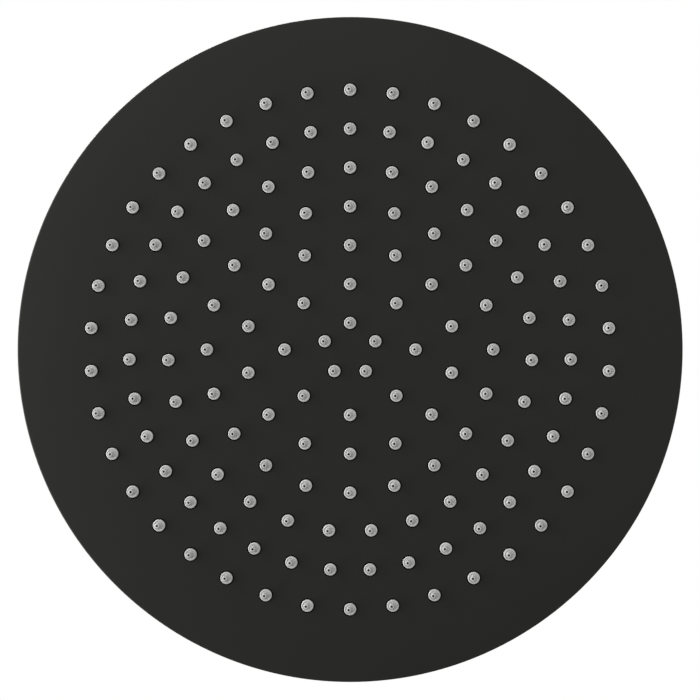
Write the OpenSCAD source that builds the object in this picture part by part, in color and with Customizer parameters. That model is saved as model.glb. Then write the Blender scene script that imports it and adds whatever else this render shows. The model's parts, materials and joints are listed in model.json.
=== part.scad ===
// Round overhead shower head: a slim pan of two pressed sheets with single silicone
// nozzles, carried on a ball joint with a threaded inlet.
// The origin is the middle of the inlet's mouth, +Z points up out of the inlet, and the
// nozzles point down.

/* [Head] */
// Outside diameter of the head
head_d = 300; // [270:1:400]
// Sheet thickness of the face plate
face_t = 1; // [0.8:0.1:1.5]
// Sheet thickness of the back plate
back_t = 1; // [0.8:0.1:1.5]
// Height of the water chamber between the two sheets
chamber_h = 3; // [2.6:0.1:6]
// Outside corner radius where the face turns up into the rim
rim_corner_r = 0.8; // [0.3:0.1:1]
// Width of the flat flange of the back plate inside the rim
flange_w = 6; // [4:0.5:10]
// Width of the pressed step from the flange up to the back
step_w = 9; // [6:0.5:14]
// Gap between the back plate and the rim around it
rim_gap = 0.05; // [0.02:0.01:0.15]
// Diameter of the spacer studs welded between the sheets
stud_d = 5; // [3:0.5:6]

/* [Hub] */
// Outside diameter of the raised dome round the hub
dome_d = 104; // [90:1:110]
// Diameter of the flat land on top of the dome
land_d = 48; // [44:1:56]
// Height of the dome above the flat of the back plate
dome_rise = 3; // [2.5:0.1:8]
// Diameter of the hub's flange under the back plate
hub_flange_d = 36; // [34:0.5:42]
// Thickness of the hub's flange
hub_flange_t = 2; // [1.5:0.1:2.5]
// Wall of the hub round the seal
hub_wall = 3.5; // [3:0.1:5]
// Diameter of the water way through the hub
hub_way_d = 12; // [10:0.5:13]

/* [Nozzle field] */
// Nozzles in each ring, from the middle outwards
ring_counts = [5, 8, 14, 20, 27, 35, 38];
// Diameter of the innermost ring
first_ring_d = 24; // [20:0.5:30]
// Distance from the outermost ring to the outside of the head
field_margin = 33; // [24:0.5:40]
// Flange diameter of a nozzle
nozzle_d = 5.5; // [5:0.1:7]
// Height of the nozzle's rim above the face
nozzle_rim_h = 0.8; // [0.7:0.05:1.2]
// Width of the nozzle's rounded rim
nozzle_rim_w = 0.9; // [0.8:0.05:1.1]
// Depth of the dish inside the rim
dish_depth = 0.3; // [0.1:0.05:0.35]
// Height of the nozzle's tip above the face
nozzle_h = 3; // [2.4:0.1:4.5]
// Diameter of the tip
tip_d = 2.2; // [1.8:0.1:2.6]
// Diameter of the jet hole
jet_d = 1.1; // [0.6:0.05:1.2]
// Diameter of the bore behind the jet hole
bore_d = 2.5; // [2:0.1:2.8]
// Diameter of the neck that passes through the face plate
nozzle_neck_d = 4.2; // [3.8:0.1:4.4]
// Gap between a neck and its hole
neck_gap = 0.05; // [0.02:0.01:0.1]
// Depth of the round seat sunk into the face for each nozzle
seat_sink = 0.3; // [0.1:0.05:0.4]
// Width of the open groove left round a nozzle in its seat
seat_groove = 0.55; // [0.2:0.05:0.6]
// Height of the barb that holds the nozzle behind the face plate
barb_h = 1.2; // [0.8:0.1:1.8]
// How far the barb reaches past the neck, all round
barb_catch = 0.5; // [0.3:0.05:0.7]

/* [Ball joint] */
// Diameter of the ball
ball_d = 22; // [20:0.5:25]
// Diameter of the neck between the ball and the inlet
stem_d = 13; // [12:0.1:13.5]
// Distance from the middle of the ball to the underside of the inlet
stem_h = 13; // [12.8:0.1:18]
// Diameter of the water way through the ball
way_d = 9; // [6:0.5:10]
// Thickness of the slip ring
slip_t = 1; // [0.8:0.1:1.5]
// Height of the slip ring
slip_h = 4.4; // [3:0.1:4.6]
// Height of the slip ring's lower edge above the middle of the ball
slip_low = 2; // [1.8:0.1:2.5]
// Running gap between the ball, the slip ring, the seal and the collar nut
run_gap = 0.1; // [0.05:0.01:0.15]
// How far the collar nut's lip reaches in over the ball
lip_catch = 1.5; // [1:0.1:1.6]
// Height of the collar nut above the edge of its seat
lip_land = 0.95; // [0.8:0.05:1.1]
// Wall of the collar nut round its thread
nut_wall = 2.2; // [2:0.1:3]
// Chamfer round the top of the collar nut
nut_chamfer = 2.6; // [2.4:0.1:2.8]
// Number of grip flutes round the collar nut
flute_count = 24; // [12:1:36]
// Diameter of a grip flute
flute_d = 3; // [2:0.1:3.4]
// Depth of a grip flute
flute_depth = 0.6; // [0.3:0.1:0.8]
// Gap between the collar nut and the land under it
nut_lift = 1; // [0.5:0.1:2]
// Thickness of the washer under the seal
washer_t = 1; // [0.6:0.1:1.4]

/* [Inlet] */
// Height of the hexagon
inlet_h = 18; // [17:0.5:24]
// Hexagon size across the flats
inlet_af = 24; // [24:0.5:30]
// Inside diameter of the thread
thread_d = 18.631; // [18:0.001:19.2]
// Depth of the threaded bore
thread_depth = 10; // [8:0.5:10.5]
// Diameter of the seat under the thread, where the filter washer lies
seat_d = 18.2; // [17:0.1:18.2]
// Depth of the seat
seat_h = 2.5; // [2:0.1:3]
// Thickness of the filter washer
filter_t = 2.4; // [2:0.1:2.5]
// Hole through the filter washer
filter_hole_d = 12; // [10:0.5:12]
// Thickness of the filter mesh
mesh_t = 0.3; // [0.2:0.05:0.5]
// Side of an opening in the mesh
mesh_hole = 0.9; // [0.6:0.05:1]
// Distance from one mesh opening to the next
mesh_pitch = 1.3; // [1.2:0.05:1.8]
// Diameter of the pocket for the flow restrictor
pocket_d = 12.6; // [12:0.1:13]
// Depth of the pocket for the flow restrictor
pocket_h = 3.5; // [3.3:0.1:4]
// Thickness of the flow restrictor's floor
restrictor_floor = 1.4; // [1:0.1:1.6]
// Number of holes in the flow restrictor
restrictor_holes = 8; // [4:1:10]
// Diameter of a hole in the flow restrictor
restrictor_hole_d = 1; // [0.8:0.1:1.2]
// Wall of the flow restrictor round its O-ring
restrictor_wall = 1.2; // [1:0.1:1.4]
// Diameter of the post inside the O-ring
restrictor_post_d = 3.2; // [2.8:0.1:3.4]
// Thickness of the restrictor's O-ring
oring_t = 1.6; // [1.2:0.1:1.7]

/* [Hidden] */

$fn = 72;
// Cuts run this far past the faces that they open
past = 1;
// Play between parts that are pressed or dropped into each other
fit_gap = 0.1;

// Spacer studs: the count on each circle, and the ring of nozzles that each circle follows
stud_counts = [9, 16];
stud_after_ring = [4, 6];

// Ball joint, in heights from the middle of the ball
ball_r = ball_d / 2;
slip_in_r = ball_r + run_gap;
slip_out_r = slip_in_r + slip_t;
seat_r = slip_out_r + run_gap;
lip_r = ball_r - lip_catch;
seat_edge = sqrt(seat_r * seat_r - lip_r * lip_r);
nut_top = seat_edge + lip_land;
// Flat cut at the bottom of the ball, just above where its water way would end
ball_flat = sqrt(ball_r * ball_r - pow(way_d / 2 + 0.5, 2));
seal_foot = ball_r - 1.5;
seal_top = ball_r - 7.5;
seal_r = ball_r + 0.3;
seal_hole_r = hub_way_d / 2 + 1.2;
pocket_r = seal_r + fit_gap;
shoulder = seal_foot + washer_t;
hub_base = shoulder + 1.5;
hub_top = 2;
hub_r = pocket_r + hub_wall;
hub_hole_r = hub_r + fit_gap;
nut_r = hub_hole_r + nut_wall;
nut_shoulder = hub_top - 0.3;
nut_cavity_r = seat_r + 0.1;

// Heights from the origin, going down
ball_z = -inlet_h - stem_h;
land_under_z = ball_z - hub_base + hub_flange_t;
land_top_z = land_under_z + back_t;
back_top_z = land_top_z - dome_rise;
chamber_top_z = back_top_z - back_t;
chamber_z = chamber_top_z - chamber_h;
face_z = chamber_z - face_t;
nut_foot_z = land_top_z + nut_lift;

head_r = head_d / 2;
rim_in_r = head_r - face_t;
back_r = rim_in_r - rim_gap;
step_out_r = back_r - flange_w;
step_in_r = step_out_r - step_w;
rings = len(ring_counts);
last_ring_r = head_r - field_margin;
ring_pitch = (last_ring_r - first_ring_d / 2) / (rings - 1);
function ring_r(i) = first_ring_d / 2 + (i - 1) * ring_pitch;

nozzle_r = nozzle_d / 2;
nozzle_neck_r = nozzle_neck_d / 2;

mesh_r = filter_hole_d / 2 + 1.2;
washer_foot_z = -thread_depth - seat_h;
pocket_z = washer_foot_z - pocket_h;
restrictor_r = pocket_d / 2 - fit_gap;
// Circle that the restrictor's holes and its O-ring share
oring_path_r = (restrictor_r - restrictor_wall + restrictor_post_d / 2) / 2;

// Points of an arc about [x, y], from angle a to angle b, in n steps
function arc(x, y, r, a, b, n) = [
    for (i = [0:n]) let (t = a + (b - a) * i / n) [x + r * cos(t), y + r * sin(t)]
];

// Points of a soft step from [x0, y0] to [x1, y1], level at both ends, in n steps
function soft_step(x0, y0, x1, y1, n) = [
    for (i = [0:n]) [
        x0 + (x1 - x0) * i / n,
        y0 + (y1 - y0) * (1 - cos(180 * i / n)) / 2
    ]
];

function reversed(list) = [for (i = [len(list) - 1:-1:0]) list[i]];

// Places its child round a circle, the first on the +Y side
module round_circle(r, count) {
    for (i = [0:count - 1]) rotate([0, 0, 90 + i * 360 / count]) translate([r, 0, 0]) children();
}

module tube(r_out, r_in, h) {
    rotate_extrude() translate([r_in, 0]) square([r_out - r_in, h]);
}

// Face plate: a shallow pan with its rim turned up round the back plate
module face_plate() {
    rim_top = face_t + back_t;
    edge_break = 0.2;
    color([0.17, 0.17, 0.165]) translate([0, 0, face_z]) difference() {
        union() {
            rotate_extrude() polygon(concat(
                [[rim_in_r - past, 0]],
                arc(head_r - rim_corner_r, rim_corner_r, rim_corner_r, -90, 0, 6),
                [
                    [head_r, rim_top - edge_break], [head_r - edge_break, rim_top],
                    [rim_in_r, rim_top], [rim_in_r, face_t], [rim_in_r - past, face_t]
                ]
            ));
            cylinder(r = rim_in_r - past, h = face_t);
        }
        for (i = [1:rings]) round_circle(ring_r(i), ring_counts[i - 1])
            nozzle_seat();
    }
}

// Cut for one nozzle: a hole for its neck and a shallow seat for its flange
module nozzle_seat() {
    translate([0, 0, -past]) cylinder(r = nozzle_neck_r + neck_gap, h = face_t + 2 * past);
    translate([0, 0, -past]) cylinder(r = nozzle_r + seat_groove, h = past + seat_sink);
}

// Underside of the back plate, from the rim to the hub, seen in section
function back_section() = concat(
    [[back_r, chamber_z]],
    soft_step(step_out_r, chamber_z, step_in_r, chamber_top_z, 8),
    soft_step(dome_d / 2, chamber_top_z, land_d / 2, land_under_z, 8),
    [[hub_hole_r, land_under_z]]
);

// Back plate: one pressed sheet, a flange in the rim, a step up and a dome at the hub
module back_plate() {
    under = back_section();
    top = [for (p = reversed(under)) [p[0], p[1] + back_t]];
    color([0.17, 0.17, 0.165]) rotate_extrude() polygon(concat(under, top));
}

// Spacer studs: welded between the sheets, midway between two rings of nozzles
module spacer_studs() {
    color([0.6, 0.6, 0.6]) translate([0, 0, chamber_z])
        for (k = [0:len(stud_counts) - 1]) {
            r = (ring_r(stud_after_ring[k]) + ring_r(stud_after_ring[k] + 1)) / 2;
            round_circle(r, stud_counts[k]) cylinder(r = stud_d / 2, h = chamber_h);
        }
}

// One nozzle, with the face of the plate at height 0 and its tip pointing up
module nozzle() {
    rim_r = nozzle_rim_w / 2;
    rim_z = nozzle_rim_h - rim_r;
    dish_z = nozzle_rim_h - dish_depth;
    dish_angle = 180 - asin((dish_z - rim_z) / rim_r);
    nipple_r = nozzle_r - nozzle_rim_w - 0.2;
    tip_round = 0.2;
    barb_r = nozzle_neck_r + barb_catch;
    rotate_extrude() polygon(concat(
        [
            [bore_d / 2, -face_t - barb_h], [barb_r - 0.3, -face_t - barb_h],
            [barb_r, -face_t], [nozzle_neck_r, -face_t],
            [nozzle_neck_r, -seat_sink], [nozzle_r, -seat_sink]
        ],
        arc(nozzle_r - rim_r, rim_z, rim_r, 0, dish_angle, 5),
        [
            [nipple_r, dish_z],
            [tip_d / 2, nozzle_h - tip_round], [tip_d / 2 - tip_round, nozzle_h],
            [jet_d / 2, nozzle_h], [jet_d / 2, nozzle_h / 2], [bore_d / 2, 0]
        ]
    ));
}

// Ring i of nozzles, counted from the middle
module nozzle_ring(i) {
    color([0.63, 0.63, 0.62]) translate([0, 0, face_z]) mirror([0, 0, 1])
        round_circle(ring_r(i), ring_counts[i - 1]) nozzle();
}

// Hub: a flange brazed under the back plate, a threaded wall and a pocket for the seal
module hub_boss() {
    thread_break = 0.5;
    color("goldenrod") translate([0, 0, ball_z]) rotate_extrude() polygon([
        [hub_way_d / 2, -hub_base], [hub_flange_d / 2, -hub_base],
        [hub_flange_d / 2, -hub_base + hub_flange_t], [hub_r, -hub_base + hub_flange_t],
        [hub_r, -hub_top - thread_break], [hub_r - thread_break, -hub_top],
        [pocket_r, -hub_top], [pocket_r, -shoulder], [hub_way_d / 2, -shoulder]
    ]);
}

// Collar nut: holds the ball down on its seal, with flutes to grip it by
module collar_nut() {
    foot = nut_foot_z - ball_z;
    lip_break = 0.5;
    flute_r = flute_d / 2;
    color([0.15, 0.15, 0.15]) translate([0, 0, ball_z]) difference() {
        rotate_extrude() polygon([
            [hub_hole_r, foot], [nut_r - lip_break, foot], [nut_r, foot + lip_break],
            [nut_r, nut_top - nut_chamfer], [nut_r - nut_chamfer, nut_top],
            [lip_r + lip_break, nut_top], [lip_r, nut_top - lip_break],
            [lip_r, -nut_shoulder], [hub_hole_r, -nut_shoulder]
        ]);
        sphere(r = seat_r);
        translate([0, 0, -nut_shoulder - past]) cylinder(r = nut_cavity_r, h = nut_shoulder + past);
        round_circle(nut_r + flute_r - flute_depth, flute_count)
            translate([0, 0, foot - past]) cylinder(r = flute_r, h = nut_top - foot + 2 * past, $fn = 24);
    }
}

// Slip ring: a band of a hollow sphere between the ball and the collar nut
module slip_ring() {
    color("white") translate([0, 0, ball_z]) intersection() {
        difference() {
            sphere(r = slip_out_r);
            sphere(r = slip_in_r);
        }
        translate([0, 0, slip_low]) tube(slip_out_r + past, slip_in_r / 2, slip_h);
    }
}

// Ball seal: rubber ring in the hub's pocket, hollowed to the ball
module ball_seal() {
    color([0.1, 0.1, 0.1]) translate([0, 0, ball_z]) difference() {
        translate([0, 0, -seal_foot]) tube(seal_r, seal_hole_r, seal_foot - seal_top);
        sphere(r = slip_in_r);
    }
}

// Washer between the seal and the bottom of the pocket
module backing_washer() {
    color("gold") translate([0, 0, ball_z - shoulder]) tube(seal_r, seal_hole_r - 0.6, washer_t);
}

// Inlet: a threaded hexagon, a neck and the ball, turned from one bar
module ball_inlet() {
    hex_r = inlet_af / 2 / cos(30);
    corner = 1.2;
    fillet = 1.5;
    stem_r = stem_d / 2;
    color([0.15, 0.15, 0.15]) difference() {
        union() {
            intersection() {
                translate([0, 0, -inlet_h]) cylinder(r = hex_r, h = inlet_h, $fn = 6);
                rotate_extrude() polygon([
                    [0, -inlet_h], [hex_r - corner, -inlet_h], [hex_r, -inlet_h + corner / 2],
                    [hex_r, -corner / 2], [hex_r - corner, 0], [0, 0]
                ]);
            }
            translate([0, 0, ball_z]) rotate_extrude() polygon([
                [0, 0], [stem_r, 0], [stem_r, stem_h - fillet],
                [stem_r + fillet, stem_h], [stem_r + fillet, stem_h + past], [0, stem_h + past]
            ]);
            translate([0, 0, ball_z]) sphere(r = ball_r);
        }
        translate([0, 0, -thread_depth]) cylinder(r = thread_d / 2, h = thread_depth + past);
        translate([0, 0, washer_foot_z]) cylinder(r = seat_d / 2, h = seat_h + past);
        translate([0, 0, pocket_z]) cylinder(r = pocket_d / 2, h = pocket_h + past);
        translate([0, 0, ball_z - ball_d]) cylinder(r = way_d / 2, h = ball_d - ball_z);
        translate([0, 0, ball_z - ball_d]) cylinder(r = ball_d, h = ball_d - ball_flat);
    }
}

// Filter washer: seals the pipe's end and holds the mesh in a groove
module filter_washer() {
    groove = mesh_t + 0.1;
    middle = filter_t / 2;
    r_in = filter_hole_d / 2;
    r_out = seat_d / 2 - fit_gap;
    color([0.08, 0.08, 0.08]) translate([0, 0, washer_foot_z]) rotate_extrude() polygon([
        [r_in, 0], [r_out, 0], [r_out, filter_t], [r_in, filter_t],
        [r_in, middle + groove / 2], [mesh_r + fit_gap, middle + groove / 2],
        [mesh_r + fit_gap, middle - groove / 2], [r_in, middle - groove / 2]
    ]);
}

// Filter mesh: a thin disc with square openings
module filter_mesh() {
    reach = filter_hole_d / 2 - mesh_hole / 2;
    steps = floor(reach / mesh_pitch);
    color("silver") translate([0, 0, washer_foot_z + (filter_t - mesh_t) / 2])
        linear_extrude(mesh_t) difference() {
            circle(r = mesh_r);
            for (i = [-steps:steps], j = [-steps:steps])
                if (norm([i, j]) * mesh_pitch < reach)
                    translate([i, j] * mesh_pitch) square(mesh_hole, center = true);
        }
}

// Flow restrictor: a cup whose O-ring closes over the holes as the pressure rises
module flow_restrictor() {
    top = pocket_h - fit_gap;
    color("white") translate([0, 0, pocket_z]) difference() {
        cylinder(r = restrictor_r, h = top);
        translate([0, 0, restrictor_floor])
            tube(restrictor_r - restrictor_wall, restrictor_post_d / 2, top);
        round_circle(oring_path_r, restrictor_holes)
            translate([0, 0, -past]) cylinder(r = restrictor_hole_d / 2, h = restrictor_floor + 2 * past);
    }
}

// O-ring in the flow restrictor
module restrictor_oring() {
    lift = 0.02;
    color([0.05, 0.05, 0.05]) translate([0, 0, pocket_z + restrictor_floor + oring_t / 2 + lift])
        rotate_extrude() translate([oring_path_r, 0]) circle(r = oring_t / 2);
}

face_plate();
back_plate();
spacer_studs();
nozzle_ring(1);  // nozzle_ring_1
nozzle_ring(2);  // nozzle_ring_2
nozzle_ring(3);  // nozzle_ring_3
nozzle_ring(4);  // nozzle_ring_4
nozzle_ring(5);  // nozzle_ring_5
nozzle_ring(6);  // nozzle_ring_6
nozzle_ring(7);  // nozzle_ring_7
hub_boss();
collar_nut();
slip_ring();
ball_seal();
backing_washer();
ball_inlet();
filter_washer();
filter_mesh();
flow_restrictor();
restrictor_oring();
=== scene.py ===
"""Looks of the round overhead shower head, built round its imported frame.

Everything is in metres, in the frame's axes: the inlet's mouth is the origin, +Z points up
out of it, and the nozzles point down.
"""
import json
import math

import bpy
import numpy as np
from bpy.props import FloatProperty, FloatVectorProperty, IntProperty, PointerProperty
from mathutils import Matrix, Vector
from mathutils.geometry import delaunay_2d_cdt


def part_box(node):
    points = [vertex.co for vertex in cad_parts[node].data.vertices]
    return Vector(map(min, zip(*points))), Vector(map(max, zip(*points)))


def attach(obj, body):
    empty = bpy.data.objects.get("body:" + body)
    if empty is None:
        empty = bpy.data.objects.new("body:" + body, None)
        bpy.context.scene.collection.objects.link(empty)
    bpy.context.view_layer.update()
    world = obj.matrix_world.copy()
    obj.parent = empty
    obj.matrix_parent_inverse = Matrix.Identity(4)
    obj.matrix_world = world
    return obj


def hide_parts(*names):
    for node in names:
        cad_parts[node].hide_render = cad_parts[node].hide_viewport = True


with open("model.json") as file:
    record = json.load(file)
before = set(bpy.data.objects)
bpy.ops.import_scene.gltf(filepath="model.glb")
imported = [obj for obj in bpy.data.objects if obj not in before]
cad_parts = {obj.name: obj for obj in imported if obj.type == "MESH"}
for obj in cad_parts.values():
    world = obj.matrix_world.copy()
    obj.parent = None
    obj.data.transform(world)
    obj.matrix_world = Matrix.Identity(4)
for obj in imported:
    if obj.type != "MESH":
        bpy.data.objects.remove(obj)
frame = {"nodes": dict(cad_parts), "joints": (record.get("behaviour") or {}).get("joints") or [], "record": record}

bl_info = {
    "name": "Round shower head",
    "version": (1, 0, 0),
    "blender": (4, 5, 0),
    "location": "3D View > Sidebar > Shower head",
    "description": "Builds a round overhead shower head, its finishes and its studio",
    "category": "Add Mesh",
}

MM = 0.001
TURN = 2 * math.pi
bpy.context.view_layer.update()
RING_COUNTS = (5, 8, 14, 20, 27, 35, 38)
INNER_NODES = (
    "spacer_studs", "hub_boss", "slip_ring", "ball_seal", "backing_washer",
    "filter_washer", "filter_mesh", "flow_restrictor", "restrictor_oring",
)
FINISHES = {}
SEED = 7


def low(node):
    """Lowest corner of a node of the frame."""
    return np.array(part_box(node)[0])


def high(node):
    """Highest corner of a node of the frame."""
    return np.array(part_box(node)[1])


HEAD_R = float(high("face_plate")[0])
FACE_Z = float(low("face_plate")[2])
RIM_Z = float(high("face_plate")[2])
BACK_R = float(high("back_plate")[0])
LAND_Z = float(high("back_plate")[2])
BALL_Z = frame["joints"][0]["pos_m"][2]
BALL_FOOT_Z = float(low("ball_inlet")[2])
NUT_R = float(high("collar_nut")[0])
NUT_TOP_Z = float(high("collar_nut")[2])
NUT_FOOT_Z = float(low("collar_nut")[2])


def size(name, description, default):
    """A length that a user can change."""
    return FloatProperty(
        name=name, description=description, default=default, unit="LENGTH", precision=5
    )


def shade(name, description, default):
    """A colour that a user can change, linear."""
    return FloatVectorProperty(
        name=name, description=description, default=default, subtype="COLOR", size=3, min=0, max=1
    )


def amount(name, description, default, top=1.0):
    """A plain number that a user can change."""
    return FloatProperty(name=name, description=description, default=default, min=0, max=top)


class SheetSizes(bpy.types.PropertyGroup):
    """Sizes of the two pressed sheets."""

    sheet: size("Sheet", "Thickness of the face and back plates", 1.0 * MM)
    rim_corner: size("Rim corner", "Radius where the face turns up into the rim", 0.8 * MM)
    rim_break: size("Rim break", "Rounding of the rim's upper edges", 0.2 * MM)
    flange: size("Flange", "Width of the back plate's flange", 6.0 * MM)
    step: size("Step", "Width of the pressed step", 9.0 * MM)
    step_rise: size("Step rise", "Height of the pressed step", 3.0 * MM)
    dome_r: size("Dome radius", "Radius of the raised dome", 52.0 * MM)
    land_r: size("Land radius", "Radius of the flat land round the hub", 24.0 * MM)
    hub_hole_r: size("Hub hole", "Radius of the hole for the hub", 15.0 * MM)
    seat_depth: size("Seat depth", "Depth of the seat sunk for each nozzle", 0.3 * MM)
    seat_r: size("Seat radius", "Radius of the seat sunk for each nozzle", 3.3 * MM)
    seat_break: size("Seat break", "Rounding of the seat's edge", 0.08 * MM)
    hole_r: size("Hole radius", "Radius of the hole for a nozzle's neck", 2.15 * MM)


class NozzleSizes(bpy.types.PropertyGroup):
    """Sizes of the nozzles and of their rings."""

    first_ring_r: size("First ring", "Radius of the innermost ring", 12.0 * MM)
    last_ring_r: size("Last ring", "Radius of the outermost ring", 117.0 * MM)
    flange_r: size("Flange radius", "Radius of a nozzle's flange", 2.75 * MM)
    rim_r: size("Rim rounding", "Radius of the rim's rounding", 0.45 * MM)
    rim_h: size("Rim height", "Height of the rim over the face", 0.8 * MM)
    dish_h: size("Dish height", "Height of the dish over the face", 0.5 * MM)
    tip_h: size("Tip height", "Height of the tip over the face", 3.0 * MM)
    tip_r: size("Tip radius", "Radius of the tip", 1.1 * MM)
    jet_r: size("Jet radius", "Radius of the jet hole", 0.55 * MM)
    bore_r: size("Bore radius", "Radius of the bore behind the jet hole", 1.25 * MM)
    neck_r: size("Neck radius", "Radius of the neck in the face plate", 2.1 * MM)
    barb_r: size("Barb radius", "Radius of the barb behind the face plate", 2.6 * MM)
    barb_h: size("Barb height", "Height of the barb", 1.2 * MM)
    tip_lean: size("Tip lean", "How far the soft tips lean towards +X", 0.7 * MM)
    tip_spread: size("Tip spread", "How much the lean differs from tip to tip", 0.03 * MM)


class JointSizes(bpy.types.PropertyGroup):
    """Sizes of the collar nut, the ball and the threaded inlet."""

    nut_chamfer: size("Nut chamfer", "Chamfer round the top of the collar nut", 2.6 * MM)
    lip_r: size("Lip radius", "Inner radius of the collar nut's lip", 9.5 * MM)
    lip_break: size("Lip break", "Chamfer on the nut's edges", 0.5 * MM)
    seat_r: size("Seat radius", "Radius of the round seat inside the nut", 12.2 * MM)
    cavity_r: size("Cavity radius", "Radius of the nut below its seat", 12.3 * MM)
    shoulder: size("Shoulder", "Depth of the nut's shoulder below the ball's middle", 1.7 * MM)
    flute_r: size("Flute radius", "Radius of a grip flute", 1.5 * MM)
    flute_depth: size("Flute depth", "Depth of a grip flute", 0.6 * MM)
    flutes: IntProperty(name="Flutes", description="Number of grip flutes", default=24, min=6, max=48)
    ball_r: size("Ball radius", "Radius of the ball", 11.0 * MM)
    stem_r: size("Stem radius", "Radius of the stem over the ball", 6.5 * MM)
    stem_fillet: size("Stem fillet", "Rounding under the hexagon", 1.5 * MM)
    hexagon_h: size("Hexagon height", "Height of the hexagon", 18.0 * MM)
    flats: size("Across flats", "Size of the hexagon across its flats", 24.0 * MM)
    corner: size("Corner chamfer", "Chamfer on the hexagon's corners", 1.2 * MM)
    thread_r: size("Thread radius", "Radius inside the thread", 9.3155 * MM)
    thread_depth: size("Thread depth", "Depth of the threaded bore", 10.0 * MM)
    thread_pitch: size("Thread pitch", "Distance from one turn to the next", 1.814 * MM)
    thread_cut: size("Thread cut", "Depth of the thread's groove", 1.0 * MM)
    washer_r: size("Washer seat radius", "Radius of the filter washer's seat", 9.1 * MM)
    washer_h: size("Washer seat height", "Depth of the filter washer's seat", 2.5 * MM)
    pocket_r: size("Pocket radius", "Radius of the restrictor's pocket", 6.3 * MM)
    pocket_h: size("Pocket height", "Depth of the restrictor's pocket", 3.5 * MM)
    way_r: size("Way radius", "Radius of the water way", 4.5 * MM)


class FinishColours(bpy.types.PropertyGroup):
    """Colours of the finishes."""

    coat: shade("Coat", "Matt black powder coat", (0.0095, 0.0097, 0.0085))
    silicone: shade("Silicone", "Grey silicone of the nozzles", (0.375, 0.375, 0.366))
    steel: shade("Steel", "Bare steel", (0.48, 0.48, 0.47))
    brass: shade("Brass", "Bare brass", (0.58, 0.36, 0.12))
    acetal: shade("Acetal", "White moulded acetal", (0.74, 0.74, 0.71))
    rubber: shade("Rubber", "Black rubber", (0.012, 0.012, 0.012))


class StudioSettings(bpy.types.PropertyGroup):
    """Camera and lights."""

    distance: size("Distance", "Distance from the camera to the face", 0.70)
    frame_width: size("Frame width", "Width seen by the camera at the rim", 0.31577)
    aim: FloatVectorProperty(
        name="Aim", description="Place of the camera off the middle of the head", size=2,
        default=(0.07 * MM, -0.22 * MM), unit="LENGTH", precision=5,
    )
    ambient: amount("Ambient", "Light that the world throws on the object", 0.16)
    key_power: amount("Key power", "Power of the main lamp in watts", 29.0, 500)
    fill_power: amount("Fill power", "Power of the soft lamp in watts", 3.6, 500)
    side_power: amount("Side power", "Power of the lamp across from the main one in watts", 2.6, 500)
    top_power: amount("Top power", "Power of the lamp over the back in watts", 55.0, 500)
    floor_z: FloatProperty(
        name="Floor height", description="Height of the floor", default=-1.35, unit="LENGTH", max=0
    )


class ShowerHead(bpy.types.PropertyGroup):
    """All the sizes and colours of the shower head."""

    sheets: PointerProperty(type=SheetSizes)
    nozzles: PointerProperty(type=NozzleSizes)
    joint: PointerProperty(type=JointSizes)
    colours: PointerProperty(type=FinishColours)
    studio: PointerProperty(type=StudioSettings)


class Wire:
    """A number or colour that runs through a node tree. Sums with it add Math nodes."""

    def __init__(self, board, socket):
        self.board = board
        self.socket = socket

    def __add__(self, other):
        return self.board.maths("ADD", self, other)

    def __mul__(self, other):
        return self.board.maths("MULTIPLY", self, other)

    __radd__ = __add__
    __rmul__ = __mul__


class Board:
    """A node tree that is filled one call at a time."""

    def __init__(self, tree):
        self.tree = tree
        tree.nodes.clear()

    def node(self, kind, settings=None, sockets=None, out=0):
        """Adds a node: its settings first, then the values or wires of its sockets."""
        made = self.tree.nodes.new(kind)
        for key, value in (settings or {}).items():
            setattr(made, key, value)
        for key, value in (sockets or {}).items():
            if isinstance(value, Wire):
                self.tree.links.new(value.socket, made.inputs[key])
            else:
                made.inputs[key].default_value = value
        return Wire(self, made.outputs[out]) if made.outputs else made

    def maths(self, operation, *values):
        """One Math node."""
        settings = {"operation": operation}
        return self.node("ShaderNodeMath", settings, dict(enumerate(values)))

    def blend(self, factor, first, second):
        """A colour between two colours."""
        sockets = {"Factor": factor, "A": first, "B": second}
        mix = self.tree.nodes.new("ShaderNodeMix")
        mix.data_type = "RGBA"
        for key, value in sockets.items():
            socket = [s for s in mix.inputs if s.name == key and s.enabled][0]
            if isinstance(value, Wire):
                self.tree.links.new(value.socket, socket)
            else:
                socket.default_value = value
        return Wire(self, [s for s in mix.outputs if s.enabled][0])


class Finish(Board):
    """A material for one finish of the shower head, patterned in the object's own place."""

    def __init__(self, name):
        self.material = bpy.data.materials.new(name)
        self.material.use_nodes = True
        super().__init__(self.material.node_tree)
        self.place = self.node("ShaderNodeTexCoord", out="Object")

    def grain(self, step, detail=2.0, rough=0.5):
        """Noise from 0 to 1 whose lumps are about one step apart."""
        sockets = {"Vector": self.place, "Scale": 1 / step, "Detail": detail, "Roughness": rough}
        return self.node("ShaderNodeTexNoise", None, sockets)

    def turned(self, step):
        """Fine rings about the Z axis, as a lathe tool leaves them."""
        settings = {"wave_type": "RINGS", "rings_direction": "Z", "wave_profile": "SIN"}
        sockets = {"Vector": self.place, "Scale": 1 / step / 20, "Distortion": 0.4, "Detail": 1.0}
        return self.node("ShaderNodeTexWave", settings, sockets, out="Fac")

    def bump(self, height, depth, strength=1.0):
        """Normal for a height of 0 to 1 that stands for the given depth."""
        sockets = {"Strength": strength, "Distance": depth, "Height": height}
        return self.node("ShaderNodeBump", None, sockets)

    def tint(self, colour, share, mask):
        """The colour, up to the given share lighter and darker as the mask goes from 0 to 1."""
        dark = [c * (1 - share) for c in colour] + [1]
        light = [min(1, c * (1 + share)) for c in colour] + [1]
        return self.blend(mask, dark, light)

    def close(self, **sockets):
        """Ends the material with its surface shader."""
        named = {key.replace("_", " "): value for key, value in sockets.items()}
        surface = self.node("ShaderNodeBsdfPrincipled", None, named)
        self.node("ShaderNodeOutputMaterial", None, {"Surface": surface})
        return self.material


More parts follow.
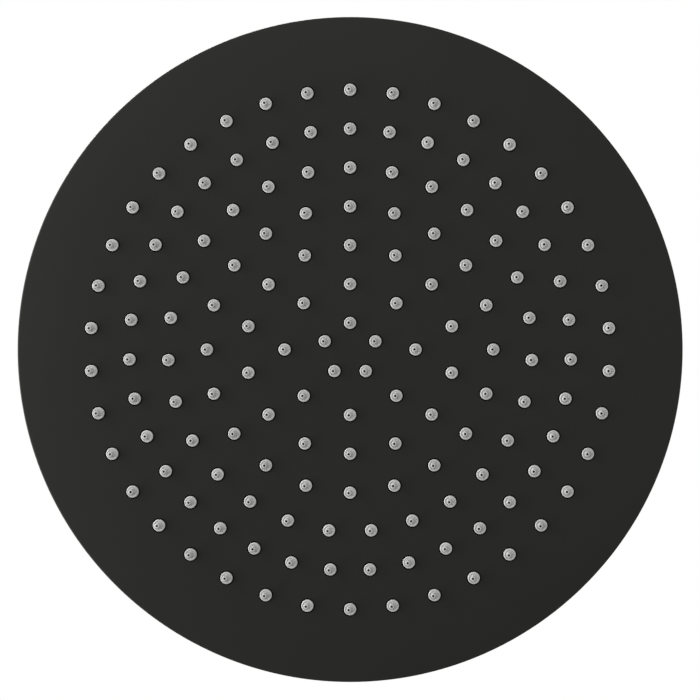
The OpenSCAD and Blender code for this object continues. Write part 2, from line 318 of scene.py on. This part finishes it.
def black_coat(colour):
    """Matt powder coat: a fine even grain, barely mottled."""
    coat = Finish("matt_black_coat")
    grain = coat.grain(0.55 * MM, detail=3.0)
    mottle = coat.grain(40 * MM, detail=1.0)
    return coat.close(
        Base_Color=coat.tint(colour, 0.06, mottle),
        Roughness=grain * 0.12 + 0.48,
        Specular_IOR_Level=0.15,
        Normal=coat.bump(grain, 0.02 * MM, 0.35),
    )


def painted_seat_shade(colour):
    """Painted shade for the seat sunk round each nozzle: the coat darkened to a fifth, with no sheen."""
    coat = Finish("seat_black_coat")
    grain = coat.grain(0.3 * MM)
    return coat.close(
        # A fifth of the coat's colour: painted shade in the seat.
        Base_Color=coat.tint([c * 0.2 for c in colour], 0.1, grain),
        Roughness=grain * 0.1 + 0.8,
        Specular_IOR_Level=0.03,
    )


def nozzle_silicone(colour):
    """Moulded grey silicone: satin, with a soft skin and small differences in tone."""
    silicone = Finish("grey_silicone")
    skin = silicone.grain(0.25 * MM, detail=2.0)
    batch = silicone.grain(14 * MM, detail=1.0)
    return silicone.close(
        Base_Color=silicone.tint(colour, 0.14, batch),
        Roughness=skin * 0.1 + 0.34,
        Normal=silicone.bump(skin, 0.005 * MM, 0.15),
    )


def bare_steel(colour):
    """Bare brushed steel."""
    steel = Finish("bare_steel")
    scratch = steel.grain(0.2 * MM, detail=4.0, rough=0.7)
    return steel.close(
        Base_Color=steel.tint(colour, 0.08, scratch),
        Metallic=1.0,
        Roughness=scratch * 0.2 + 0.24,
        Normal=steel.bump(scratch, 0.01 * MM, 0.3),
    )


def turned_brass(colour):
    """Brass as it comes off the lathe."""
    brass = Finish("turned_brass")
    rings = brass.turned(0.12 * MM)
    stain = brass.grain(4 * MM, detail=2.0)
    return brass.close(
        Base_Color=brass.tint(colour, 0.12, stain),
        Metallic=1.0,
        Roughness=stain * 0.16 + 0.2,
        Normal=brass.bump(rings, 0.008 * MM, 0.4),
    )


def white_acetal(colour):
    """White moulded acetal, slightly waxy."""
    acetal = Finish("white_acetal")
    skin = acetal.grain(1.5 * MM, detail=2.0)
    return acetal.close(
        Base_Color=acetal.tint(colour, 0.03, skin),
        Roughness=skin * 0.1 + 0.3,
        Normal=acetal.bump(skin, 0.02 * MM, 0.2),
    )


def black_rubber(colour):
    """Black rubber with a dull bloom."""
    rubber = Finish("black_rubber")
    bloom = rubber.grain(1.2 * MM, detail=3.0)
    return rubber.close(
        Base_Color=rubber.tint(colour, 0.25, bloom),
        Roughness=bloom * 0.15 + 0.62,
        Normal=rubber.bump(bloom, 0.03 * MM, 0.3),
    )


def finish(slot):
    """The material of one of the record's slots, made the first time that it is asked for."""
    makers = {
        "matt_black": (black_coat, "coat"),
        # The seats' finish is painted shade: the coat darkened to a fifth.
        "seat_black": (painted_seat_shade, "coat"),
        "grey_silicone": (nozzle_silicone, "silicone"),
        "bare_steel": (bare_steel, "steel"),
        "bare_brass": (turned_brass, "brass"),
        "white_acetal": (white_acetal, "acetal"),
        "black_rubber": (black_rubber, "rubber"),
    }
    if slot not in FINISHES:
        make, colour = makers[slot]
        FINISHES[slot] = make(list(getattr(bpy.context.scene.shower_head.colours, colour)))
    return FINISHES[slot]


def arc(x, y, radius, start, end, steps):
    """Points of an arc about (x, y): the middle plus the radius times cosine and sine."""
    angle = np.radians(np.linspace(start, end, steps + 1))
    return np.stack([x + radius * np.cos(angle), y + radius * np.sin(angle)], axis=1)


def soft_step(start, end, steps):
    """A step that is level at both ends: half a cosine wave between two points."""
    share = np.linspace(0, 1, steps + 1)
    rise = (1 - np.cos(math.pi * share)) / 2
    across = start[0] + (end[0] - start[0]) * share
    height = start[1] + (end[1] - start[1]) * rise
    return np.stack([across, height], axis=1)


def rounded(profile, radius, steps=3):
    """A closed outline with each corner cut back by the radius and bowed out again: a
    quadratic curve from the near point on one side, past the corner, to that on the other."""
    profile = np.asarray(profile, float)
    radius = np.broadcast_to(radius, len(profile))[:, None]
    before = np.roll(profile, 1, axis=0) - profile
    after = np.roll(profile, -1, axis=0) - profile
    back = np.linalg.norm(before, axis=1, keepdims=True)
    ahead = np.linalg.norm(after, axis=1, keepdims=True)
    first = profile + before / back * np.minimum(radius, 0.45 * back)
    last = profile + after / ahead * np.minimum(radius, 0.45 * ahead)
    share = np.linspace(0, 1, steps + 1)[None, :, None]
    curve = (1 - share) ** 2 * first[:, None] + 2 * share * (1 - share) * profile[:, None]
    curve = curve + share ** 2 * last[:, None]
    return curve.reshape(-1, 2)


def grid_faces(rows, columns, loop=False):
    """Four-sided faces of a grid that closes round its columns, and its rows if loop."""
    row = np.arange(rows if loop else rows - 1)[:, None]
    column = np.arange(columns)[None, :]
    next_row = (row + 1) % rows
    next_column = (column + 1) % columns
    corners = [
        row * columns + column,
        row * columns + next_column,
        next_row * columns + next_column,
        next_row * columns + column,
    ]
    spread = [np.broadcast_to(corner, (len(row), columns)) for corner in corners]
    return np.stack(spread, axis=2).reshape(-1, 4)


def swept_points(radius, height, start=0.0):
    """Rows of radii, one for each angle round the Z axis, each row at its height."""
    columns = radius.shape[1]
    angle = start + np.arange(columns) * TURN / columns
    height = np.broadcast_to(height, radius.shape)
    return np.stack([radius * np.cos(angle), radius * np.sin(angle), height], axis=2).reshape(-1, 3)


def turned_points(profile, columns):
    """A profile of radius and height carried round the Z axis."""
    return swept_points(np.tile(profile[:, 0:1], (1, columns)), profile[:, 1:2])


def soft_min(first, second, width):
    """The smaller of two lengths, with a rounded change over the width where they cross."""
    share = np.clip(0.5 + (second - first) / (2 * width), 0, 1)
    return second + (first - second) * share - width * share * (1 - share)


def filled(profile, step):
    """A profile with more points, so that none lie further apart along it than the step."""
    sides = np.linalg.norm(np.diff(profile, axis=0), axis=1)
    run = np.concatenate([[0], np.cumsum(sides)])
    stops = np.unique(np.concatenate([run, np.arange(step, run[-1], step)]))
    stops = stops[np.concatenate([[True], np.diff(stops) > 0.001 * MM])]
    return np.stack([np.interp(stops, run, column) for column in profile.T], axis=1)


def signed_volume(points, faces):
    """Volume by summing the tetrahedra from the origin: negative if the faces point inwards."""
    first = points[faces[:, 0]]
    total = 0.0
    for corner in range(1, faces.shape[1] - 1):
        side = np.cross(points[faces[:, corner]], points[faces[:, corner + 1]])
        total += float(np.einsum("ij,ij->", first, side))
    return total / 6


def welded(points, faces):
    """Merges the points that share one place, to a ten-thousandth of a millimetre."""
    keys = np.round(points / (0.0001 * MM)).astype(np.int64)
    _, kept, moved = np.unique(keys, axis=0, return_index=True, return_inverse=True)
    moved = moved.reshape(-1)
    return points[kept], [moved[block] for block in faces]


def piece(name, points, faces, slots, body, replaced, marks=None, sharp=40):
    """A new object of the given faces: it takes the slots' finishes, rides on the body and
    stands for the replaced nodes. Marks give each block of faces its slot."""
    if sum(signed_volume(points, block) for block in faces) < 0:
        faces = [block[:, ::-1] for block in faces]
    counts = np.concatenate([np.full(len(block), block.shape[1]) for block in faces])
    loops = np.concatenate([block.reshape(-1) for block in faces])
    mesh = bpy.data.meshes.new(name)
    mesh.vertices.add(len(points))
    mesh.vertices.foreach_set("co", points.reshape(-1).astype(np.float32))
    mesh.loops.add(len(loops))
    mesh.loops.foreach_set("vertex_index", loops.astype(np.int32))
    mesh.polygons.add(len(counts))
    mesh.polygons.foreach_set("loop_start", (np.cumsum(counts) - counts).astype(np.int32))
    for slot in slots:
        mesh.materials.append(finish(slot))
    if marks is not None:
        index = np.concatenate([np.full(len(b), m) for b, m in zip(faces, marks)])
        mesh.polygons.foreach_set("material_index", index.astype(np.int32))
    mesh.update(calc_edges=True)
    if mesh.validate():
        raise RuntimeError(name + ": the mesh had faces or edges that don't hold")
    mesh.polygons.foreach_set("use_smooth", np.ones(len(counts), bool))
    mesh.set_sharp_from_angle(angle=math.radians(sharp))
    made = bpy.data.objects.new(name, mesh)
    bpy.context.scene.collection.objects.link(made)
    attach(made, body)
    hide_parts(*replaced)
    return made


def nozzle_places(sizes, ring):
    """Middles of one ring's nozzles: evenly round the circle, the first on the +Y side."""
    radius = np.linspace(sizes.first_ring_r, sizes.last_ring_r, len(RING_COUNTS))[ring]
    angle = math.pi / 2 + np.arange(RING_COUNTS[ring]) * TURN / RING_COUNTS[ring]
    return radius * np.stack([np.cos(angle), np.sin(angle)], axis=1)


def copies(points, faces, middles, bend=0.0):
    """One turned shape set down at each middle, as one block of points and faces. The bend
    moves each point of a copy sideways and differs from copy to copy."""
    shift = np.concatenate([middles, np.zeros((len(middles), 1))], axis=1)
    spread = (points[None] + shift[:, None] + bend).reshape(-1, 3)
    offsets = (np.arange(len(middles)) * len(points))[:, None, None]
    return spread, (faces[None] + offsets).reshape(-1, faces.shape[1])


def sheet_with_holes(outline, hole, middles, height):
    """A flat sheet at one height inside an outline, open at a hole round each middle. The
    triangles come from a Delaunay mesh, less those whose middle lies in a hole."""
    rims = (hole[None] + middles[:, None]).reshape(-1, 2)
    points = np.concatenate([outline, rims])
    around = np.arange(len(outline))
    edges = [np.stack([around, np.roll(around, -1)], axis=1)]
    ring = np.arange(len(hole))
    pairs = np.stack([ring, np.roll(ring, -1)], axis=1)
    starts = len(outline) + np.arange(len(middles)) * len(hole)
    edges.append((pairs[None] + starts[:, None, None]).reshape(-1, 2))
    made = delaunay_2d_cdt(points.tolist(), np.concatenate(edges).tolist(), [], 0, 1e-9)
    flat = np.array([tuple(p) for p in made[0]])
    faces = np.array(made[2])
    centre = flat[faces].mean(axis=1)
    reach = np.linalg.norm(hole, axis=1).min()
    nearest = np.min(np.linalg.norm(centre[:, None] - middles[None], axis=2), axis=1)
    faces = faces[nearest > 0.98 * reach]
    return np.concatenate([flat, np.full((len(flat), 1), height)], axis=1), faces


class SHOWER_OT_face_plate(bpy.types.Operator):
    """Face plate: a flat sheet with a seat and a hole for each nozzle and a turned-up rim"""

    bl_idname = "shower.face_plate"
    bl_label = "Face plate"

    def execute(self, context):
        head = context.scene.shower_head
        sheets = head.sheets
        columns = 288
        seat_columns = 20
        inner_z = FACE_Z + sheets.sheet
        rim_in_r = HEAD_R - sheets.sheet
        middles = np.concatenate([nozzle_places(head.nozzles, i) for i in range(len(RING_COUNTS))])

        # Rim: up round the outer corner, over the top and down the inside
        corner = sheets.rim_corner
        edge = sheets.rim_break
        rim = np.concatenate([
            arc(HEAD_R - corner, FACE_Z + corner, corner, -90, 0, 6),
            arc(HEAD_R - edge, RIM_Z - edge, edge, 0, 90, 3),
            arc(rim_in_r + edge / 2, RIM_Z - edge / 2, edge / 2, 90, 180, 3),
            [[rim_in_r, inner_z]],
        ])
        rim_points = turned_points(rim, columns)
        rim_faces = grid_faces(len(rim), columns)

        # Seats: over the rounded edge, down the wall, in along the floor and up the hole
        soft = sheets.seat_break
        floor_z = FACE_Z + sheets.seat_depth
        seat = np.concatenate([
            arc(sheets.seat_r + soft, FACE_Z + soft, soft, -90, -180, 2),
            [[sheets.seat_r, floor_z], [sheets.hole_r, floor_z], [sheets.hole_r, inner_z]],
        ])
        one = turned_points(seat, seat_columns)
        seat_points, seat_faces = copies(one, grid_faces(len(seat), seat_columns), middles)
        edge_rows = 2 * seat_columns
        row = np.arange(len(seat_faces)) % ((len(seat) - 1) * seat_columns)

        outer_points, outer_faces = sheet_with_holes(
            turned_points(rim[:1], columns)[:, :2], one[:seat_columns, :2], middles, FACE_Z
        )
        inner_points, inner_faces = sheet_with_holes(
            turned_points(rim[-1:], columns)[:, :2], one[-seat_columns:, :2], middles, inner_z
        )
        blocks = [rim_faces, seat_faces[row < edge_rows], seat_faces[row >= edge_rows],
                  outer_faces[:, ::-1], inner_faces]
        stacks = [rim_points, seat_points, seat_points, outer_points, inner_points]
        starts = np.cumsum([0] + [len(s) for s in stacks])[:-1]
        points, faces = welded(
            np.concatenate(stacks), [block + start for block, start in zip(blocks, starts)]
        )
        # The walls, floors and holes of the seats take the second finish, which is painted shade.
        piece(
            "face_plate_skin", points, faces, ["matt_black", "seat_black"], "head", ["face_plate"],
            marks=[0, 0, 1, 0, 0],
        )
        return {"FINISHED"}


class SHOWER_OT_back_plate(bpy.types.Operator):
    """Back plate: one pressed sheet, a flange, a soft step and a soft dome at the hub"""

    bl_idname = "shower.back_plate"
    bl_label = "Back plate"

    def execute(self, context):
        sheets = context.scene.shower_head.sheets
        flange_z = FACE_Z + sheets.sheet
        step_out = BACK_R - sheets.flange
        step_in = step_out - sheets.step
        low_z = flange_z + sheets.step_rise
        land_z = LAND_Z - sheets.sheet
        under = np.concatenate([
            soft_step((step_out, flange_z), (step_in, low_z), 16),
            soft_step((sheets.dome_r, low_z), (sheets.land_r, land_z), 20),
        ])
        top = under[::-1] + [0, sheets.sheet]
        edge = 0.12 * MM
        profile = np.concatenate([
            [[BACK_R, flange_z]],
            under,
            [[sheets.hub_hole_r, land_z]],
            [[sheets.hub_hole_r, LAND_Z]],
            top,
            arc(BACK_R - edge, RIM_Z - edge, edge, 90, 0, 3),
        ])
        columns = 224
        piece(
            "back_plate_skin", turned_points(profile, columns),
            [grid_faces(len(profile), columns, loop=True)], ["matt_black"], "head", ["back_plate"],
            sharp=30,
        )
        return {"FINISHED"}


class SHOWER_OT_nozzles(bpy.types.Operator):
    """Nozzles: each a turned shape with a barb, a neck, a rounded rim, a dish and a tip"""

    bl_idname = "shower.nozzles"
    bl_label = "Nozzles"

    def execute(self, context):
        head = context.scene.shower_head
        sizes = head.nozzles
        sheets = head.sheets
        rim_z = sizes.rim_h - sizes.rim_r
        dish_angle = 180 - math.degrees(math.asin((sizes.dish_h - rim_z) / sizes.rim_r))
        soft = 0.2 * MM
        barb_slope = 0.3 * MM
        foot_r = sizes.flange_r - 2 * sizes.rim_r - soft
        profile = np.concatenate([
            [
                [sizes.bore_r, -sheets.sheet - sizes.barb_h],
                [sizes.barb_r - barb_slope, -sheets.sheet - sizes.barb_h],
                [sizes.barb_r, -sheets.sheet],
                [sizes.neck_r, -sheets.sheet],
                [sizes.neck_r, -sheets.seat_depth],
                [sizes.flange_r, -sheets.seat_depth],
            ],
            arc(sizes.flange_r - sizes.rim_r, rim_z, sizes.rim_r, 0, dish_angle, 6),
            [
                [foot_r + soft, sizes.dish_h],
                [foot_r - 0.1 * soft, sizes.dish_h + 0.4 * soft],
                [foot_r - 0.6 * soft, sizes.dish_h + 1.6 * soft],
                [sizes.tip_r, sizes.tip_h - soft],
                [sizes.tip_r - 0.3 * soft, sizes.tip_h - 0.3 * soft],
                [sizes.tip_r - soft, sizes.tip_h],
                [sizes.jet_r, sizes.tip_h],
                [sizes.jet_r, sizes.tip_h / 2],
                [sizes.bore_r, 0],
            ],
        ])
        give = np.clip((profile[:, 1] - sizes.dish_h) / (sizes.tip_h - sizes.dish_h), 0, 1)
        profile[:, 1] = FACE_Z - profile[:, 1]
        columns = 20
        one = turned_points(profile, columns)
        one_faces = grid_faces(len(profile), columns, loop=True)
        chance = np.random.default_rng(SEED)
        for ring in range(len(RING_COUNTS)):
            node = "nozzle_ring_%d" % (ring + 1)
            middles = nozzle_places(sizes, ring)
            lean = np.zeros((len(middles), 3))
            lean[:, :2] = chance.normal((sizes.tip_lean, 0), sizes.tip_spread, (len(middles), 2))
            bend = lean[:, None] * np.repeat(give, columns)[None, :, None]
            points, faces = copies(one, one_faces, middles, bend)
            piece(
                node.replace("ring", "field"), points, [faces], ["grey_silicone"], "head", [node],
                sharp=55,
            )
        return {"FINISHED"}


class SHOWER_OT_collar_nut(bpy.types.Operator):
    """Collar nut: a turned ring whose outside is cut back by round grip flutes"""

    bl_idname = "shower.collar_nut"
    bl_label = "Collar nut"

    def execute(self, context):
        sizes = context.scene.shower_head.joint
        bore_r = context.scene.shower_head.sheets.hub_hole_r
        seat_z = math.sqrt(sizes.seat_r ** 2 - sizes.lip_r ** 2)
        foot = NUT_FOOT_Z - BALL_Z
        top = NUT_TOP_Z - BALL_Z
        corner_r = 0.25 * MM
        row_step = 0.6 * MM
        flute_edge = 0.1 * MM
        outside = filled(rounded([
            [NUT_R - sizes.lip_break, foot], [NUT_R, foot + sizes.lip_break],
            [NUT_R, top - sizes.nut_chamfer], [NUT_R - sizes.nut_chamfer, top],
            [sizes.lip_r + sizes.lip_break, top], [sizes.lip_r, top - sizes.lip_break],
        ], corner_r)[:-1], row_step)
        inside = np.concatenate([
            arc(0, 0, sizes.seat_r, math.degrees(math.asin(seat_z / sizes.seat_r)), 0, 10),
            [[sizes.cavity_r, 0], [sizes.cavity_r, -sizes.shoulder], [bore_r, -sizes.shoulder],
             [bore_r, foot]],
        ])
        profile = np.concatenate([outside, inside]) + [0, BALL_Z]
        per_flute = 16
        columns = sizes.flutes * per_flute
        off = (np.arange(columns) % per_flute) * TURN / columns
        off = np.minimum(off, TURN / sizes.flutes - off)
        middle_r = NUT_R + sizes.flute_r - sizes.flute_depth
        reach = np.maximum(sizes.flute_r ** 2 - (middle_r * np.sin(off)) ** 2, 0)
        flute = np.where(reach > 0, middle_r * np.cos(off) - np.sqrt(reach), 2 * NUT_R)
        radius = np.tile(profile[:, 0:1], (1, columns))
        cut = radius[:len(outside)]
        radius[:len(outside)] = np.minimum(cut, soft_min(cut, flute[None], flute_edge))
        piece(
            "collar_nut_skin", swept_points(radius, profile[:, 1:2], math.pi / 2),
            [grid_faces(len(profile), columns, loop=True)], ["matt_black"], "head", ["collar_nut"],
        )
        return {"FINISHED"}


class SHOWER_OT_ball_inlet(bpy.types.Operator):
    """Ball inlet: a hexagon with an inside pipe thread, a stem and a ball with its water way"""

    bl_idname = "shower.ball_inlet"
    bl_label = "Ball inlet"

    def execute(self, context):
        sizes = context.scene.shower_head.joint
        columns = 192
        angle = np.arange(columns) * TURN / columns

        # Hexagon: half its flats over the largest of the six cosines, taken as a high power
        # mean, which rounds the corners
        power = 90
        row_step = 0.12 * MM
        flats = np.cos(angle[None] - (np.arange(6)[:, None] + 0.5) * TURN / 6)
        hexagon = sizes.flats / 2 / (np.maximum(flats, 0) ** power).sum(axis=0) ** (1 / power)
        foot = -sizes.hexagon_h
        full_r = sizes.flats / 2 / math.cos(TURN / 12)
        small_r = full_r - sizes.corner
        limit = np.concatenate([
            filled(np.array([[small_r, 0], [full_r, -sizes.corner / 2]]), row_step),
            filled(np.array([[full_r, foot + sizes.corner / 2], [small_r, foot]]), row_step),
        ])
        hexagon_r = soft_min(limit[:, 0:1], hexagon[None], row_step)

        # Stem and ball, down to the flat where the water way ends
        ball_r = sizes.ball_r
        fillet = sizes.stem_fillet
        stem_top = math.degrees(math.acos(sizes.stem_r / ball_r))
        flat_r = sizes.way_r + 0.5 * MM
        flat = -math.degrees(math.acos(flat_r / ball_r))
        stem = np.concatenate([
            arc(sizes.stem_r + fillet, foot - fillet, fillet, 90, 180, 6),
            arc(0, BALL_Z, ball_r, stem_top, flat, 26),
            [[sizes.way_r, BALL_FOOT_Z]],
        ])

        # Bore: up the water way, through the pocket and the washer's seat to the thread
        seat_z = -sizes.thread_depth - sizes.washer_h
        pocket_z = seat_z - sizes.pocket_h
        bore = np.array([
            [sizes.way_r, pocket_z], [sizes.pocket_r, pocket_z], [sizes.pocket_r, seat_z],
            [sizes.washer_r, seat_z], [sizes.washer_r, -sizes.thread_depth],
        ])

        # Thread: the radius swells and falls as a cosine of the height in pitches plus the
        # turn, fades out at the bottom, and opens into a chamfer at the mouth
        thread_rows = 72
        fade_run = 0.8 * sizes.thread_pitch
        height = np.linspace(-sizes.thread_depth, 0, thread_rows)[:, None]
        wave = 0.5 + 0.7 * np.cos(TURN * height / sizes.thread_pitch + angle[None])
        fade = np.clip((height + sizes.thread_depth) / fade_run, 0, 1)
        thread_r = sizes.thread_r + sizes.thread_cut * np.clip(wave, 0, 1) * fade
        mouth_r = sizes.thread_r + sizes.thread_cut + height
        thread_r = np.maximum(thread_r, mouth_r)

        turned = np.concatenate([stem, bore])
        radius = np.concatenate([hexagon_r, np.tile(turned[:, 0:1], (1, columns)), thread_r])
        heights = np.concatenate([limit[:, 1:2], turned[:, 1:2], height])
        piece(
            "ball_inlet_skin", swept_points(radius, heights),
            [grid_faces(len(heights), columns, loop=True)], ["matt_black"], "inlet",
            ["ball_inlet"], sharp=35,
        )
        return {"FINISHED"}


class SHOWER_OT_inner_parts(bpy.types.Operator):
    """Studs, hub, slip ring, seal and washers: finishes for the solids of the frame"""

    bl_idname = "shower.inner_parts"
    bl_label = "Inner parts"

    def execute(self, context):
        for entry in frame["record"]["subparts"]:
            node = frame["nodes"][entry["node"]]
            if entry["node"] in INNER_NODES:
                for holder in node.material_slots:
                    holder.material = finish(entry["material_slot"])
        return {"FINISHED"}


class SHOWER_OT_studio(bpy.types.Operator):
    """Studio: a pale floor, a white background, four soft lamps and the camera"""

    bl_idname = "shower.studio"
    bl_label = "Studio"

    def execute(self, context):
        studio = context.scene.shower_head.studio
        self.world(studio.ambient)
        self.floor(studio.floor_z)
        self.lamp("key_lamp", (0.98, 0.02, -0.26), (1.8, 0.3), studio.key_power)
        self.lamp("fill_lamp", (0.1, 0.86, -0.72), (0.7, 0.5), studio.fill_power)
        self.lamp("side_lamp", (-0.87, 0.0, -0.72), (0.7, 0.5), studio.side_power)
        self.lamp("top_lamp", (0.6, 0.9, 1.5), (1.0, 1.0), studio.top_power)
        self.camera(studio)
        context.scene.view_settings.view_transform = "Standard"
        return {"FINISHED"}

    def seen(self, board):
        """1 for the rays that look at the background: the camera's, glossy and clear ones."""
        kinds = [board.node("ShaderNodeLightPath", out=k)
                 for k in ("Is Camera Ray", "Is Glossy Ray", "Is Transmission Ray")]
        first = board.maths("MAXIMUM", kinds[0], kinds[1])
        return board.maths("MAXIMUM", first, kinds[2])

    def world(self, ambient):
        """White where it is looked at, and a plain even light elsewhere."""
        world = bpy.data.worlds.new("studio_world")
        world.use_nodes = True
        board = Board(world.node_tree)
        strength = self.seen(board) * (1 - ambient) + ambient
        light = board.node("ShaderNodeBackground", None, {"Color": (1, 1, 1, 1), "Strength": strength})
        board.node("ShaderNodeOutputWorld", None, {"Surface": light})
        bpy.context.scene.world = world

    def floor(self, height):
        """A pale floor that takes the object's shadow and fades to white further out."""
        paint = Finish("studio_floor")
        away = paint.node(
            "ShaderNodeVectorMath", {"operation": "LENGTH"}, {0: paint.place}, out="Value"
        )
        fade_from = 1.9
        fade_to = 4.5
        far = paint.node("ShaderNodeMapRange", {"interpolation_type": "SMOOTHSTEP"}, {
            "Value": away, "From Min": fade_from, "From Max": fade_to,
            "To Min": 0.0, "To Max": 1.0,
        })
        pale = paint.node("ShaderNodeBsdfDiffuse", None, {"Color": (0.86, 0.86, 0.86, 1)})
        white = paint.node("ShaderNodeEmission", None, {"Color": (1, 1, 1, 1), "Strength": 1.0})
        mixed = paint.node(
            "ShaderNodeMixShader", None, {0: far * self.seen(paint), 1: pale, 2: white}
        )
        paint.node("ShaderNodeOutputMaterial", None, {"Surface": mixed})
        reach = 40.0
        mesh = bpy.data.meshes.new("studio_floor")
        corners = [(-reach, -reach, height), (reach, -reach, height), (reach, reach, height),
                   (-reach, reach, height)]
        mesh.from_pydata(corners, [], [(0, 1, 2, 3)])
        mesh.materials.append(paint.material)
        ground = bpy.data.objects.new("studio_floor", mesh)
        bpy.context.scene.collection.objects.link(ground)

    def lamp(self, name, place, sides, power):
        """A soft lamp, wide and high as given, that faces the middle of the head."""
        light = bpy.data.lights.new(name, "AREA")
        light.shape = "RECTANGLE"
        light.size, light.size_y = sides
        light.energy = power
        holder = bpy.data.objects.new(name, light)
        holder.location = place
        aim = Vector((0, 0, FACE_Z)) - holder.location
        holder.rotation_euler = aim.to_track_quat("-Z", "Y").to_euler()
        holder.visible_camera = False
        bpy.context.scene.collection.objects.link(holder)

    def camera(self, studio):
        """Square on to the face from below, with the first nozzles at the top."""
        lens = bpy.data.cameras.new("camera")
        lens.lens = lens.sensor_width * studio.distance / studio.frame_width
        lens.clip_start = 0.01
        viewer = bpy.data.objects.new("camera", lens)
        viewer.location = (studio.aim[0], studio.aim[1], FACE_Z + 0.8 * MM - studio.distance)
        viewer.rotation_euler = (0, math.pi, 0)
        bpy.context.scene.collection.objects.link(viewer)
        bpy.context.scene.camera = viewer


class SHOWER_PT_panel(bpy.types.Panel):
    """Sizes, finishes and pieces of the shower head"""

    bl_idname = "SHOWER_PT_panel"
    bl_label = "Shower head"
    bl_space_type = "VIEW_3D"
    bl_region_type = "UI"
    bl_category = "Shower head"

    def draw(self, context):
        head = context.scene.shower_head
        for title in ShowerHead.__annotations__:
            group = getattr(head, title)
            box = self.layout.box()
            box.label(text=title.capitalize())
            for key in type(group).__annotations__:
                box.prop(group, key)
        for operator in OPERATORS:
            self.layout.operator(operator.bl_idname)


GROUPS = (SheetSizes, NozzleSizes, JointSizes, FinishColours, StudioSettings, ShowerHead)
OPERATORS = (
    SHOWER_OT_face_plate,
    SHOWER_OT_back_plate,
    SHOWER_OT_nozzles,
    SHOWER_OT_collar_nut,
    SHOWER_OT_ball_inlet,
    SHOWER_OT_inner_parts,
    SHOWER_OT_studio,
)
CLASSES = GROUPS + OPERATORS + (SHOWER_PT_panel,)


def register():
    for one in CLASSES:
        bpy.utils.register_class(one)
    bpy.types.Scene.shower_head = PointerProperty(type=ShowerHead)


def unregister():
    del bpy.types.Scene.shower_head
    for one in reversed(CLASSES):
        bpy.utils.unregister_class(one)


def main():
    """Registers the add-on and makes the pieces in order."""
    register()
    bpy.ops.shower.face_plate()
    bpy.ops.shower.back_plate()
    bpy.ops.shower.nozzles()
    bpy.ops.shower.collar_nut()
    bpy.ops.shower.ball_inlet()
    bpy.ops.shower.inner_parts()
    bpy.ops.shower.studio()


if __name__ == "__main__":
    main()
